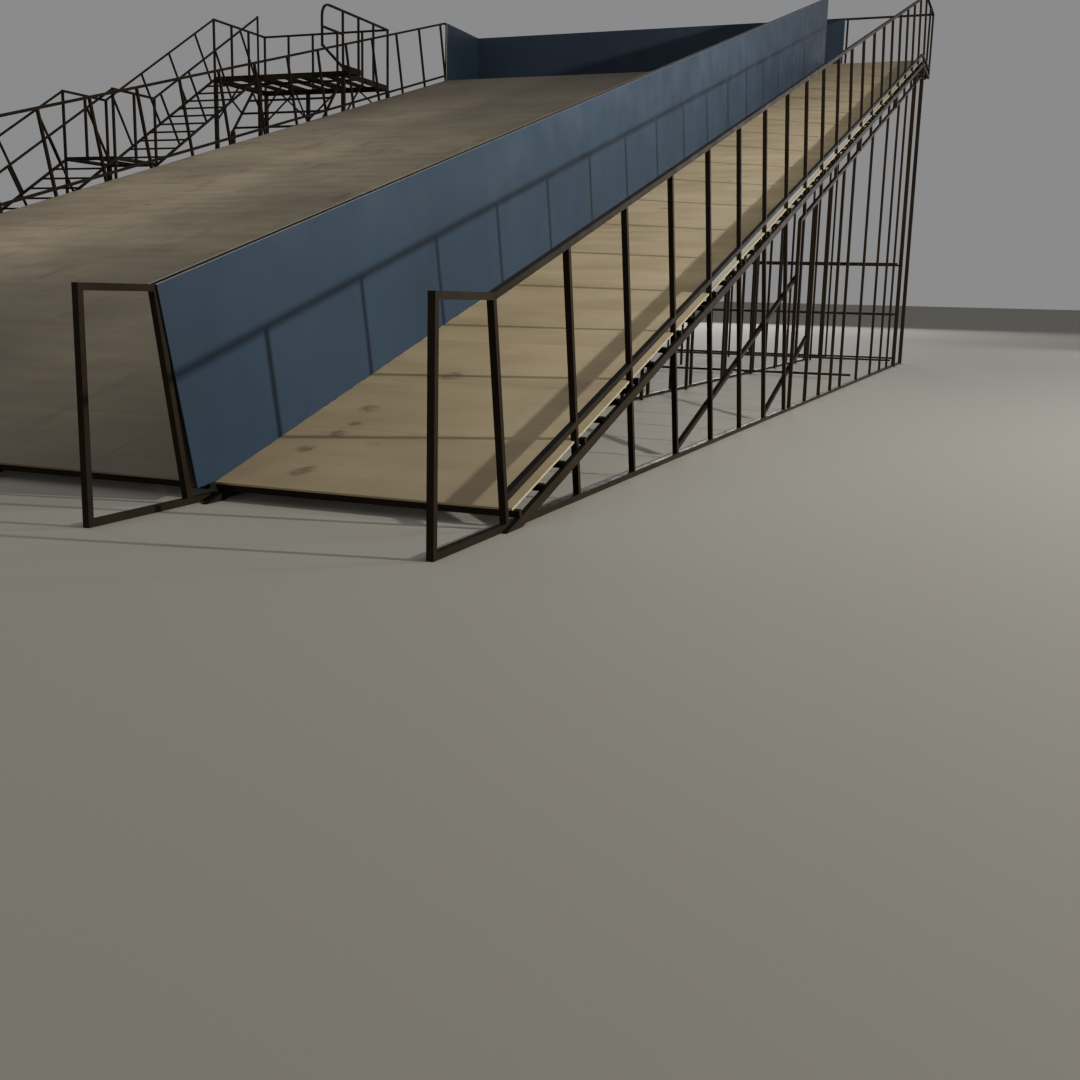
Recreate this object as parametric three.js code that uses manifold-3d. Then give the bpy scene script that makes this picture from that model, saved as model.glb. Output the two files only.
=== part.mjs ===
// Wide two-lane slide on a steel tube frame, with a stair beside the wide lane.
// Millimetres. X runs across the lanes, Y runs uphill, Z is up.
import * as THREE from 'three';
import { mergeVertices } from 'three/addons/utils/BufferGeometryUtils.js';
import Module from 'manifold-3d';

const wasm = await Module();
wasm.setup();

// Shared sizes
const TUBE = 50;
const HALF = TUBE / 2;
const STOUT = 90;
const GAP = 0.3;
const SLOPE = 0.2819;
const TILT = Math.atan(SLOPE);
const RUN_TO_SLOPE = 1 / Math.cos(TILT);

// Plan positions
const X_RIGHT = 9000;
const X_DIVIDER = 6500;
const X_LEFT = -4520;
const Y_DECK_FRONT = -13950;
const Y_CREST = 13025;
const Y_BACK = 15300;

// Heights
const Z_DECK_FRONT = 136;
const Z_KINK = 1584;
const Y_KINK = -14350;
const PLY = 18;
const JOIST = 50;
const STRINGER = 60;
const EDGE_STRINGER = 80;
const CHORD_DROP = 420;
const LOWER_RAIL_RISE = 130;
const EDGE_BEAM = 80;

const deckZ = (y) => Z_DECK_FRONT + SLOPE * (Math.min(y, Y_CREST) - Y_DECK_FRONT);
const Z_PLATFORM = deckZ(Y_CREST);
const Z_TOP = 9300;
const topRailZ = (y, kink = Y_KINK) => Math.min(Z_KINK + SLOPE * (y - kink), Z_TOP);
const peakY = (kink) => kink + (Z_TOP - Z_KINK) / SLOPE;
const chordZ = (y) => deckZ(y) - CHORD_DROP;
const Z_EDGE = Z_PLATFORM - 60;
const postEndZ = (y) => (y < Y_CREST ? chordZ(y) : Z_EDGE);

const steel = new THREE.MeshStandardMaterial({ color: 0x1c1512, roughness: 0.55, metalness: 0.3 });
const bluePaint = new THREE.MeshStandardMaterial({ color: 0x3f5666, roughness: 0.5, metalness: 0.1 });
const plywood = new THREE.MeshStandardMaterial({ color: 0x9a865f, roughness: 0.8, metalness: 0 });
steel.name = 'steel';
bluePaint.name = 'blue_paint';
plywood.name = 'plywood';

const group = new THREE.Group();
group.name = 'ramp_slide';

function addNode(name, geometry, material) {
  const mesh = new THREE.Mesh(geometry, material);
  mesh.name = name;
  group.add(mesh);
}

// Solid helpers
function toSolid(geometry) {
  const bare = geometry.clone();
  bare.deleteAttribute('normal');
  bare.deleteAttribute('uv');
  const merged = mergeVertices(bare, 1e-4);
  return new wasm.Manifold(new wasm.Mesh({
    numProp: 3,
    vertProperties: new Float32Array(merged.attributes.position.array),
    triVerts: new Uint32Array(merged.index.array),
  }));
}

function toGeometry(solid) {
  const mesh = solid.getMesh();
  const geometry = new THREE.BufferGeometry();
  geometry.setAttribute('position', new THREE.BufferAttribute(new Float32Array(mesh.vertProperties), 3));
  geometry.setIndex(new THREE.BufferAttribute(new Uint32Array(mesh.triVerts), 1));
  geometry.computeVertexNormals();
  return geometry;
}

function fuse(geometries, cutters = []) {
  let solid = wasm.Manifold.union(geometries.map(toSolid));
  for (const cutter of cutters) solid = solid.subtract(toSolid(cutter));
  return toGeometry(solid.asOriginal().simplify(0.05));
}

// A block given by its lowest and highest corners
function block(x0, x1, y0, y1, z0, z1) {
  const geometry = new THREE.BoxGeometry(x1 - x0, y1 - y0, z1 - z0);
  return geometry.translate((x0 + x1) / 2, (y0 + y1) / 2, (z0 + z1) / 2);
}

// A straight bar from start to end; thick is its size along the side direction
function bar(start, end, wide = TUBE, thick = TUBE, side = [1, 0, 0]) {
  const a = new THREE.Vector3(...start);
  const b = new THREE.Vector3(...end);
  const along = b.clone().sub(a);
  const length = along.length();
  along.normalize();
  const thickDir = new THREE.Vector3(...side);
  thickDir.addScaledVector(along, -thickDir.dot(along)).normalize();
  const wideDir = new THREE.Vector3().crossVectors(thickDir, along);
  const frame = new THREE.Matrix4().makeBasis(thickDir, along, wideDir);
  frame.setPosition(a.add(b).multiplyScalar(0.5));
  return new THREE.BoxGeometry(thick, length, wide).applyMatrix4(frame);
}

// A flat plate in a plane across X: outline is a list of [y, z]
function sidePlate(outline, x0, x1) {
  const shape = new THREE.Shape(outline.map(([y, z]) => new THREE.Vector2(y, z)));
  const geometry = new THREE.ExtrudeGeometry(shape, { depth: x1 - x0, bevelEnabled: false });
  const frame = new THREE.Matrix4().makeBasis(
    new THREE.Vector3(0, 1, 0), new THREE.Vector3(0, 0, 1), new THREE.Vector3(1, 0, 0));
  frame.setPosition(x0, 0, 0);
  return geometry.applyMatrix4(frame);
}

// An inclined bar along the slope, its centre line a given depth square below the deck surface
function slopeBar(x, y0, y1, depth, wide, thick) {
  const drop = depth * RUN_TO_SLOPE;
  const z = (y) => Z_DECK_FRONT + SLOPE * (y - Y_DECK_FRONT) - drop;
  return bar([x, y0, z(y0)], [x, y1, z(y1)], wide, thick);
}

// Side walls: posts lean square to the slope, from a top rail to the ground or to a lower chord
function postLine(wall, j) {
  const top = wall.firstTop + wall.topPitch * j;
  const foot = wall.firstFoot + wall.footPitch * j;
  const topZ = topRailZ(top, wall.firstTop);
  const yAt = (z) => foot + (top - foot) * (z / topZ);
  return { top, foot, topZ, yAt };
}

function meets(line, height) {
  let y = line.foot;
  for (let i = 0; i < 30; i += 1) y = line.yAt(height(y));
  return y;
}

function wallBars(wall) {
  const x = wall.x;
  const bars = [];
  const peak = peakY(wall.firstTop);
  bars.push(bar([x, wall.frontPost, 0], [x, wall.frontPost, Z_KINK + HALF]));
  bars.push(bar([x, wall.frontPost, Z_KINK], [x, wall.firstTop, Z_KINK]));
  bars.push(bar([x, wall.firstTop - 6, Z_KINK - 2], [x, peak, Z_TOP]));
  bars.push(bar([x, wall.frontPost, HALF], [x, wall.railEnd, HALF]));
  for (let j = 0; j <= wall.lastPost; j += wall.postStep) {
    const line = postLine(wall, j);
    const low = j <= wall.lastGroundPost ? HALF : postEndZ(meets(line, postEndZ));
    bars.push(bar([x, line.yAt(low), low], [x, line.top, line.topZ]));
  }
  bars.push(bar([x, wall.chordStart, chordZ(wall.chordStart)], [x, wall.chordEnd, chordZ(wall.chordEnd)]));
  for (const y of wall.columns) bars.push(bar([x, y, HALF], [x, y, chordZ(y)]));
  return bars;
}

// The two outer walls carry on level beside the platform, and stout columns hold up their upper ends
const Y_LAST_COLUMN = 13260;

function outerWall(wall) {
  const x = wall.x;
  const bars = wallBars(wall);
  for (const [y, top] of [[11520, chordZ(11520)], [Y_LAST_COLUMN, Z_EDGE - 15]]) {
    bars.push(bar([wall.stoutX, y, 0], [wall.stoutX, y, top], STOUT, STOUT));
  }
  const railZ = (y) => deckZ(y) + LOWER_RAIL_RISE;
  const first = meets(postLine(wall, 0), railZ);
  bars.push(bar([x, first, railZ(first)], [x, Y_CREST, railZ(Y_CREST)]));
  bars.push(bar([x, Y_CREST, railZ(Y_CREST)], [x, Y_BACK, railZ(Y_CREST)]));
  bars.push(bar([x, peakY(wall.firstTop), Z_TOP], [x, Y_BACK, Z_TOP]));
  bars.push(bar([x, Y_CREST, chordZ(Y_CREST)], [x, Y_LAST_COLUMN, chordZ(Y_CREST)]));
  bars.push(bar([x, Y_CREST + 8, Z_EDGE], [x, Y_BACK, Z_EDGE], EDGE_BEAM));
  bars.push(bar([x, Y_BACK, Z_EDGE - EDGE_BEAM / 2], [x, Y_BACK, Z_TOP + HALF]));
  for (const y of wall.platformPosts) bars.push(bar([x, y, Z_EDGE], [x, y, Z_TOP]));
  return fuse(bars);
}

const rightWall = {
  x: X_RIGHT, frontPost: -15195, firstTop: Y_KINK, firstFoot: -14054, topPitch: 1372, footPitch: 1489,
  lastPost: 20, postStep: 1, lastGroundPost: 7, chordStart: -3230, chordEnd: Y_CREST,
  railEnd: Y_LAST_COLUMN, columns: [-3230, -1860, -480, 820, 2020, 4345, 6670, 8545, 10085],
  stoutX: X_RIGHT - HALF + STOUT / 2, platformPosts: [14400],
};
const leftWall = {
  ...rightWall, x: X_LEFT, firstTop: -14440, firstFoot: -14144, topPitch: 1354, footPitch: 1462,
  stoutX: X_LEFT + HALF - STOUT / 2, platformPosts: [13070, 14180],
};
const divider = {
  x: X_DIVIDER, frontPost: -15300, firstTop: -14551, firstFoot: -14230, topPitch: 1378, footPitch: 1482,
  lastPost: 18, postStep: 2, lastGroundPost: 0, chordStart: -11810, chordEnd: 13000,
  railEnd: 13000, columns: Array.from({ length: 18 }, (_, n) => -11810 + 1380 * n),
};

addNode('right_wall_frame', outerWall(rightWall), steel);
addNode('left_wall_frame', outerWall(leftWall), steel);
addNode('divider_frame', fuse([
  ...wallBars(divider),
  bar([X_DIVIDER, peakY(divider.firstTop), Z_TOP], [X_DIVIDER, 13000, Z_TOP]),
  bar([X_DIVIDER, 13000, 0], [X_DIVIDER, 13000, Z_TOP + HALF]),
]), steel);

// Back wall: posts above the platform, columns to the ground
const backBars = [];
const backLeft = X_LEFT + HALF + GAP;
const backRight = X_RIGHT - HALF - GAP;
const railXZ = (x0, x1, z) => bar([x0, Y_BACK, z], [x1, Y_BACK, z], TUBE, TUBE, [0, 1, 0]);
for (const z of [Z_EDGE, Z_PLATFORM + LOWER_RAIL_RISE, Z_TOP]) {
  backBars.push(railXZ(backLeft, backRight, z));
}
const BACK_BAYS = 6;
const backPitch = (backRight - backLeft) / BACK_BAYS;
backBars.push(railXZ(backLeft + backPitch - HALF, backRight - backPitch + HALF, HALF));
for (let i = 1; i < BACK_BAYS; i += 1) {
  const x = backLeft + backPitch * i;
  backBars.push(bar([x, Y_BACK, HALF], [x, Y_BACK, Z_TOP]));
}
addNode('back_wall_frame', fuse(backBars), steel);

// Blue sheets
const SHEET = 15;
const SHEET_RISE = 6;
const skinTop = (y) => topRailZ(y, divider.firstTop) + HALF;
const skinOutline = [
  [divider.firstTop - 5, skinTop(divider.firstTop - 5)],
  [-14163, 115],
  [Y_DECK_FRONT, deckZ(Y_DECK_FRONT) + SHEET_RISE],
  [12970, deckZ(12970) + SHEET_RISE],
  [12970, skinTop(12970)],
  [peakY(divider.firstTop), Z_TOP + HALF],
];
const faceRight = X_DIVIDER + HALF + GAP;
const faceLeft = X_DIVIDER - HALF - GAP;
addNode('divider_skin_right', sidePlate(skinOutline, faceRight, faceRight + SHEET), bluePaint);
addNode('divider_skin_left', sidePlate(skinOutline, faceLeft - SHEET, faceLeft), bluePaint);
const sheetFoot = Z_PLATFORM + SHEET_RISE;
const sheetTop = Z_TOP + HALF;
addNode('left_return_skin', block(
  X_LEFT + HALF + GAP, X_LEFT + HALF + GAP + SHEET, Y_CREST, Y_BACK - HALF - GAP, sheetFoot, sheetTop,
), bluePaint);
addNode('back_wall_skin', block(
  X_LEFT + HALF + 2 * GAP + SHEET, 6660, Y_BACK - HALF - GAP - SHEET, Y_BACK - HALF - GAP,
  sheetFoot, sheetTop,
), bluePaint);

// Plywood lanes, drawn flat and tilted about the front edge; notches let the right posts through
const EDGE_PLY = 9010;
const NOTCH_INNER = X_RIGHT - HALF - GAP;
const laneLength = (Y_CREST - Y_DECK_FRONT) * RUN_TO_SLOPE;

function lanePlate(shape) {
  const geometry = new THREE.ExtrudeGeometry(shape, { depth: PLY, bevelEnabled: false });
  geometry.translate(0, 0, -PLY);
  geometry.rotateX(TILT);
  return geometry.translate(0, Y_DECK_FRONT, Z_DECK_FRONT);
}

const alongSlope = (y) => (y - Y_DECK_FRONT) * RUN_TO_SLOPE;
const deckCross = (wall, j) => meets(postLine(wall, j), deckZ);
const laneLeftEdge = faceRight + SHEET + GAP;
const rightLane = new THREE.Shape();
rightLane.moveTo(laneLeftEdge, 0);
rightLane.lineTo(EDGE_PLY, 0);
for (let j = 1; j <= rightWall.lastPost; j += 1) {
  const s = alongSlope(deckCross(rightWall, j));
  if (s + 45 < laneLength) {
    rightLane.lineTo(EDGE_PLY, s - 45);
    rightLane.lineTo(NOTCH_INNER, s - 45);
    rightLane.lineTo(NOTCH_INNER, s + 45);
    rightLane.lineTo(EDGE_PLY, s + 45);
  }
}
rightLane.lineTo(EDGE_PLY, laneLength);
rightLane.lineTo(laneLeftEdge, laneLength);
addNode('right_lane_deck', lanePlate(rightLane), plywood);

const leftLane = new THREE.Shape();
leftLane.moveTo(X_LEFT + HALF + GAP, 0);
leftLane.lineTo(faceLeft - SHEET - GAP, 0);
leftLane.lineTo(faceLeft - SHEET - GAP, laneLength);
leftLane.lineTo(X_LEFT + HALF + GAP, laneLength);
addNode('left_lane_deck', lanePlate(leftLane), plywood);
addNode('platform_deck', block(
  backLeft, backRight, Y_CREST + 6, Y_BACK - HALF - GAP, Z_PLATFORM - PLY, Z_PLATFORM,
), plywood);

// Joists on stringers below each lane, cut off level where they reach the ground
const JOIST_WIDE = 40;
const stringerDepth = (tall) => PLY + GAP + JOIST - 1 + tall / 2;
const GROUND_END = -14180;
const belowGround = block(-12000, 12000, -16000, -10000, -400, 0);

function joist(x0, x1, y) {
  const z = Z_DECK_FRONT + SLOPE * (y - Y_DECK_FRONT) - (PLY + GAP + JOIST / 2) * RUN_TO_SLOPE;
  return bar([x0, y, z], [x1, y, z], JOIST, JOIST_WIDE, [0, Math.cos(TILT), Math.sin(TILT)]);
}

const PAST_POST = 90;
const joistY = [Y_DECK_FRONT + 30];
for (let j = 1; j < rightWall.lastPost; j += 1) joistY.push(deckCross(rightWall, j) + PAST_POST);
const edgeX = X_RIGHT + HALF + GAP + 20;
const X_INNER = laneLeftEdge + 60;
const stringerEnd = Y_CREST - 60;
addNode('right_lane_grid', fuse([
  ...joistY.map((y) => joist(laneLeftEdge + 5, 9060, y)),
  slopeBar(edgeX, GROUND_END, stringerEnd, stringerDepth(EDGE_STRINGER), EDGE_STRINGER, 39.4),
  slopeBar(X_INNER, GROUND_END, stringerEnd, stringerDepth(STRINGER), STRINGER, TUBE),
], [belowGround]), steel);

const innerX = [-2316, -112, 2092, 4296];
addNode('left_lane_grid', fuse([
  ...joistY.filter((_, j) => j % 2 === 0).map((y) => joist(backLeft, faceLeft - SHEET - GAP, y)),
  ...innerX.map((x) => slopeBar(x, GROUND_END, stringerEnd, stringerDepth(STRINGER), STRINGER, TUBE)),
], [belowGround]), steel);

const platformTop = Z_PLATFORM - PLY - GAP;
const platformBars = [13240, 13900, 14560, 15200].map((y) => block(
  backLeft, backRight, y - 20, y + 20, platformTop - JOIST, platformTop));
for (const x of [...innerX, X_INNER]) {
  platformBars.push(block(
    x - HALF, x + HALF, Y_CREST + 60, Y_BACK - HALF - GAP,
    platformTop - JOIST + 1 - STRINGER, platformTop - JOIST + 1));
}
addNode('platform_grid', fuse(platformBars), steel);

// Cross frames under the decks
const TIE_END = 8750;

function bent(y, topZ, tieHeights = []) {
  const cross = (z, end) => bar([backLeft, y, z], [end, y, z], TUBE, TUBE, [0, 1, 0]);
  const bars = [cross(topZ - HALF, backRight), ...tieHeights.map((z) => cross(z, TIE_END))];
  for (const x of [...innerX, X_INNER]) bars.push(bar([x, y, 0], [x, y, topZ - HALF]));
  return fuse(bars);
}

const gridUnder = (y) => Z_DECK_FRONT + SLOPE * (y - Y_DECK_FRONT)
  - (PLY + GAP + JOIST - 1 + STRINGER) * RUN_TO_SLOPE;
const bentY = Array.from({ length: 9 }, (_, m) => -11120 + 2760 * m);
const GROUND_TIE = TUBE + GAP + HALF;
bentY.forEach((y, m) => {
  addNode(`support_bent_${m + 1}`, bent(y, gridUnder(y - HALF) - GAP, m === 6 ? [GROUND_TIE] : []), steel);
});
const platformUnder = platformTop - JOIST + 1 - STRINGER - GAP;
addNode('support_bent_10', bent(13400, platformUnder, [GROUND_TIE, 1300, 2640]), steel);
addNode('support_bent_11', bent(14900, platformUnder, [GROUND_TIE, 1300, 2640]), steel);

// Inclined braces just inside the right wall
const braceX = X_RIGHT - HALF - GAP - HALF;
addNode('side_brace_long', bar([braceX, -9410, 80], [braceX, -3000, 1950]), steel);
addNode('side_brace_short', bar([braceX, -4890, 75], [braceX, -1800, 1040]), steel);

// Stair beside the wide lane
const STAIR_LEFT = -9040;
const STAIR_MID = -7620;
const STAIR_THIRD = -6340;
const STAIR_RIGHT = -5060;
const RISE = 248;
const STAIR_SLOPE = 0.614;
const Z_MIDDLE = 4480;
const Z_UPPER = 7200;
const Y_MIDDLE = 2140;
const Y_MIDDLE_END = 3600;
const Y_UPPER = 8020;
const Y_UPPER_END = 10450;
const RAIL_HIGH = 1470;
const UPPER_DEEP = 140;
const MIDDLE_DEEP = 80;
const RAIL = 40;

// One flight: two stringers with a tube for each tread, and a rail on each side whose balusters
// stand square on the stringer. All are trimmed where they meet the landings.
const STAIR_TILT = Math.atan(STAIR_SLOPE);
const STRINGER_DROP = 60;

function addFlight(name, yTop, zTop, steps, balusters, low, high, endPostSide = '') {
  const zBottom = zTop - RISE * steps;
  const yBottom = yTop - (RISE * steps) / STAIR_SLOPE;
  const cutters = [
    block(-12000, 0, -16000, 16000, -2000, 0),
    block(-12000, 0, -16000, low, -2000, 20000),
    block(-12000, 0, high, 16000, -2000, 20000),
  ];
  const ladder = [STAIR_LEFT, STAIR_MID].map((x) => bar(
    [x, yBottom, zBottom - STRINGER_DROP], [x, yTop, zTop - STRINGER_DROP]));
  for (let i = 1; i < steps; i += 1) {
    const z = zTop - RISE * i - STRINGER_DROP;
    const y = yTop - (RISE * i) / STAIR_SLOPE;
    ladder.push(bar([STAIR_LEFT, y, z], [STAIR_MID, y, z], RAIL, RAIL, [0, 1, 0]));
  }
  addNode(name, fuse(ladder, cutters), steel);

  const up = [-Math.sin(STAIR_TILT), Math.cos(STAIR_TILT)];
  const reach = (RAIL_HIGH + STRINGER_DROP) * Math.cos(STAIR_TILT);
  for (const [side, x] of [['left', STAIR_LEFT], ['right', STAIR_MID]]) {
    const rail = [bar([x, yBottom, zBottom + RAIL_HIGH], [x, yTop, zTop + RAIL_HIGH], RAIL, RAIL)];
    for (let i = 0; i < balusters; i += 1) {
      const y = yBottom + ((i + 0.85) / balusters) * (yTop - yBottom);
      const z = zBottom + (y - yBottom) * STAIR_SLOPE - STRINGER_DROP;
      const foot = HALF + GAP;
      rail.push(bar(
        [x, y + up[0] * foot, z + up[1] * foot], [x, y + up[0] * reach, z + up[1] * reach], RAIL, RAIL));
    }
    if (side === endPostSide) {
      const y = high - RAIL / 2;
      const z = zTop - (yTop - high) * STAIR_SLOPE - STRINGER_DROP + HALF / Math.cos(STAIR_TILT) + GAP;
      rail.push(bar([x, y, z], [x, y, zTop + RAIL_HIGH], RAIL, RAIL));
    }
    addNode(`${name}_rail_${side}`, fuse(rail, cutters), steel);
  }
}

addFlight('lower_flight', Y_MIDDLE, Z_MIDDLE, 18, 6, -15900, Y_MIDDLE - HALF - GAP);
addFlight(
  'upper_flight', Y_UPPER, Z_UPPER, 11, 4, Y_MIDDLE_END + HALF + GAP, Y_UPPER - HALF - GAP, 'right');

// Landing frames: two cross beams and some lengthwise ones
function landingBars(x0, x1, y0, y1, zTop, deep, xs) {
  const z = zTop - deep / 2;
  const across = (y) => bar([x0, y, z], [x1, y, z], deep, TUBE, [0, 1, 0]);
  return [across(y0), across(y1), ...xs.map((x) => bar([x, y0, z], [x, y1, z], deep, TUBE))];
}

addNode('middle_landing', fuse(landingBars(
  STAIR_LEFT - HALF, STAIR_MID + HALF, Y_MIDDLE, Y_MIDDLE_END, Z_MIDDLE, MIDDLE_DEEP,
  [STAIR_LEFT, STAIR_MID],
)), steel);

// The front beam of the upper landing runs on to a short bar that lies against a post of the left wall
const tieX = X_LEFT - HALF - GAP - HALF;
const tieZ = Z_UPPER - UPPER_DEEP / 2;
addNode('upper_landing', fuse([
  ...landingBars(STAIR_LEFT - HALF, STAIR_RIGHT + HALF, Y_UPPER, Y_UPPER_END, Z_UPPER, UPPER_DEEP,
    [STAIR_LEFT, STAIR_MID, STAIR_THIRD, STAIR_RIGHT]),
  bar([STAIR_RIGHT, Y_UPPER, tieZ], [tieX, Y_UPPER, tieZ], UPPER_DEEP, TUBE, [0, 1, 0]),
  bar([tieX, 7250, tieZ], [tieX, Y_UPPER + HALF, tieZ], UPPER_DEEP, TUBE),
]), steel);

// Rails of the landings; each one is a flat frame standing on the landing
function sideRail(x, ys, zFloor) {
  const zRail = zFloor + RAIL_HIGH;
  const bars = [bar([x, ys[0], zRail], [x, ys[ys.length - 1], zRail])];
  for (const y of ys) bars.push(bar([x, y, zFloor + GAP], [x, y, zRail + HALF]));
  return bars;
}

const middleYs = [Y_MIDDLE, (Y_MIDDLE + Y_MIDDLE_END) / 2, Y_MIDDLE_END];
addNode('middle_rail_left', fuse(sideRail(STAIR_LEFT, middleYs, Z_MIDDLE)), steel);
addNode('middle_rail_right', fuse(sideRail(STAIR_MID, middleYs, Z_MIDDLE)), steel);

const upperDepth = Y_UPPER_END - Y_UPPER;
const upperYs = [Y_UPPER, Y_UPPER + upperDepth / 3, Y_UPPER_END - upperDepth / 3, Y_UPPER_END];
const upperRailZ = Z_UPPER + RAIL_HIGH;
addNode('landing_rail_left', fuse(sideRail(STAIR_LEFT, upperYs, Z_UPPER)), steel);

const backStart = STAIR_LEFT + HALF + GAP;
const backEnd = STAIR_RIGHT - HALF - GAP;
const across = [0, 1, 0];
const backRail = [
  bar([backStart, Y_UPPER_END, upperRailZ], [backEnd, Y_UPPER_END, upperRailZ], TUBE, TUBE, across),
];
for (let i = 1; i < 5; i += 1) {
  const x = STAIR_LEFT + (STAIR_RIGHT - STAIR_LEFT) * (i / 5);
  backRail.push(bar([x, Y_UPPER_END, Z_UPPER + GAP], [x, Y_UPPER_END, upperRailZ], TUBE, TUBE, across));
}
addNode('landing_rail_back', fuse(backRail), steel);

// The right rail runs on past the landing, bends down and is braced back to its post
const BEND_STEPS = 6;
const BEND_R = 330;
const bendStart = Y_UPPER - 700;
const rightRail = sideRail(STAIR_RIGHT, upperYs, Z_UPPER);
rightRail.push(bar([STAIR_RIGHT, Y_UPPER, upperRailZ], [STAIR_RIGHT, bendStart, upperRailZ]));
let from = [STAIR_RIGHT, bendStart, upperRailZ];
for (let i = 1; i <= BEND_STEPS; i += 1) {
  const a = (i / BEND_STEPS) * (Math.PI / 2);
  const to = [STAIR_RIGHT, bendStart - BEND_R * Math.sin(a), upperRailZ - BEND_R * (1 - Math.cos(a))];
  rightRail.push(bar(from, to));
  from = to;
}
const bendY = from[1];
rightRail.push(bar([STAIR_RIGHT, bendY, from[2] + 10], [STAIR_RIGHT, bendY, Z_UPPER + 420]));
rightRail.push(bar([STAIR_RIGHT, bendY, Z_UPPER + 900], [STAIR_RIGHT, Y_UPPER, Z_UPPER + 900]));
rightRail.push(bar([STAIR_RIGHT, bendY, Z_UPPER + 460], [STAIR_RIGHT, Y_UPPER, Z_UPPER + 80]));
addNode('landing_rail_right', fuse(rightRail), steel);

function landingColumns(y, xs, zTop, ties, wide = STOUT) {
  const bars = xs.map((x) => bar([x, y, 0], [x, y, zTop], wide, wide));
  for (const z of ties) {
    bars.push(bar([xs[0], y, z], [xs[xs.length - 1], y, z], TUBE, TUBE, [0, 1, 0]));
  }
  return fuse(bars);
}

const upperUnder = Z_UPPER - UPPER_DEEP - GAP;
const middleUnder = Z_MIDDLE - MIDDLE_DEEP - GAP;
const stoutLeft = STAIR_LEFT - HALF + STOUT / 2;
const wideXs = [stoutLeft, STAIR_MID, STAIR_RIGHT];
addNode('landing_front_columns', landingColumns(Y_UPPER, wideXs, upperUnder, [HALF, 2600, 5000]), steel);
addNode('landing_back_columns', landingColumns(Y_UPPER_END, wideXs, upperUnder, [HALF, 2600, 5000]), steel);
addNode('middle_front_columns', landingColumns(
  Y_MIDDLE, [STAIR_LEFT, STAIR_MID], middleUnder, [HALF, 2200], TUBE), steel);
addNode('middle_back_columns', landingColumns(
  Y_MIDDLE_END, [stoutLeft, STAIR_MID], middleUnder, [HALF, 2200]), steel);

// Raking frame in front of the upper landing: two struts with three rungs lean against the front
// columns and stand on two columns of their own
const STRUT_SLOPE = 1.18;
const STRUT_TOP = 7040;
const STRUT_FOOT = 5600;
const strutXs = [STAIR_MID, STAIR_RIGHT];
const strutLean = Y_UPPER - STOUT / 2 - GAP;
const strutZ = (y) => STRUT_TOP - (strutLean - y) * STRUT_SLOPE;
const strutFootY = strutLean - (STRUT_TOP - STRUT_FOOT) / STRUT_SLOPE;
const strutEnds = [strutFootY - 60, strutLean + 60];
addNode('landing_strut_frame', fuse([
  ...strutXs.map((x) => bar([x, strutEnds[0], strutZ(strutEnds[0])], [x, strutEnds[1], strutZ(strutEnds[1])])),
  ...[6830, 7170, 7480].map((y) => bar(
    [STAIR_MID, y, strutZ(y)], [STAIR_RIGHT, y, strutZ(y)], RAIL, RAIL, [0, 1, STRUT_SLOPE])),
], [
  block(-12000, 0, strutLean, 16000, 0, 20000),
  block(-12000, 0, -16000, 16000, 0, STRUT_FOOT),
]), steel);
addNode('landing_strut_columns', landingColumns(
  strutFootY, strutXs, STRUT_FOOT - GAP, [HALF, 1900, 3750]), steel);

export default group;
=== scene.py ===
"""Wide two-lane slide: plywood boards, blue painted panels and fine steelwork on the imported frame."""

import math
import random

import bpy
from mathutils import Matrix, Vector


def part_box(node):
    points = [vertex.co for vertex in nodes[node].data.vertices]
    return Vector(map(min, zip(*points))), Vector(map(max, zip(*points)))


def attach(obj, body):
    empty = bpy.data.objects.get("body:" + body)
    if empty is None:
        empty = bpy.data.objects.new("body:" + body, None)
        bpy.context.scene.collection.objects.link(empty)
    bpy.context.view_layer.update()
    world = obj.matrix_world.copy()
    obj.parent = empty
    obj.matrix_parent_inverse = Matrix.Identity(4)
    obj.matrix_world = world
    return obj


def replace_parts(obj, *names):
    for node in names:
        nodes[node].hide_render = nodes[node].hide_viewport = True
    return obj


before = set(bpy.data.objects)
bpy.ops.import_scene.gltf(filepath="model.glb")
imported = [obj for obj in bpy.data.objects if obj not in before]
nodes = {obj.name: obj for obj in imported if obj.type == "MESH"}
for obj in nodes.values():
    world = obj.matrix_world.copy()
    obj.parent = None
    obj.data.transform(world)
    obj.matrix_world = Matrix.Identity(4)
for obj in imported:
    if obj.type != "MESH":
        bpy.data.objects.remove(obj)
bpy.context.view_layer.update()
random.seed(41)

# Sizes shared with the solids, in metres
TUBE = 0.05
HALF = TUBE / 2
GAP = 0.0003
SLOPE = 0.2819
TILT = math.atan(SLOPE)
STRETCH = 1 / math.cos(TILT)
X_RIGHT = 9.0
X_DIVIDER = 6.5
X_LEFT = -4.52
Y_FRONT = -13.95
Z_FRONT = 0.136
Y_CREST = 13.025
Z_TOP = 9.3
Z_RAIL_FRONT = 1.584
PLY = 0.018
JOIST = 0.05
JOIST_WIDE = 0.04
SHEET = 0.015

# Posts of the right wall: where they meet the top rail and the ground, and their spacing
POST_COUNT = 20
POST_TOP_START = -14.35
POST_TOP_STEP = 1.372
POST_FOOT_START = -14.054
POST_FOOT_STEP = 1.489

UP_SLOPE = Vector((0, math.cos(TILT), math.sin(TILT)))
OFF_SLOPE = Vector((0, -math.sin(TILT), math.cos(TILT)))
ACROSS = Vector((1, 0, 0))
ALONG = Vector((0, 1, 0))


def deck_z(y):
    return Z_FRONT + SLOPE * (min(y, Y_CREST) - Y_FRONT)


def lane_point(x, s, w):
    """A point of the sloping deck: s metres up the slope from the front edge, w above the surface."""
    return Vector((x, Y_FRONT, Z_FRONT)) + UP_SLOPE * s + OFF_SLOPE * w


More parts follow.
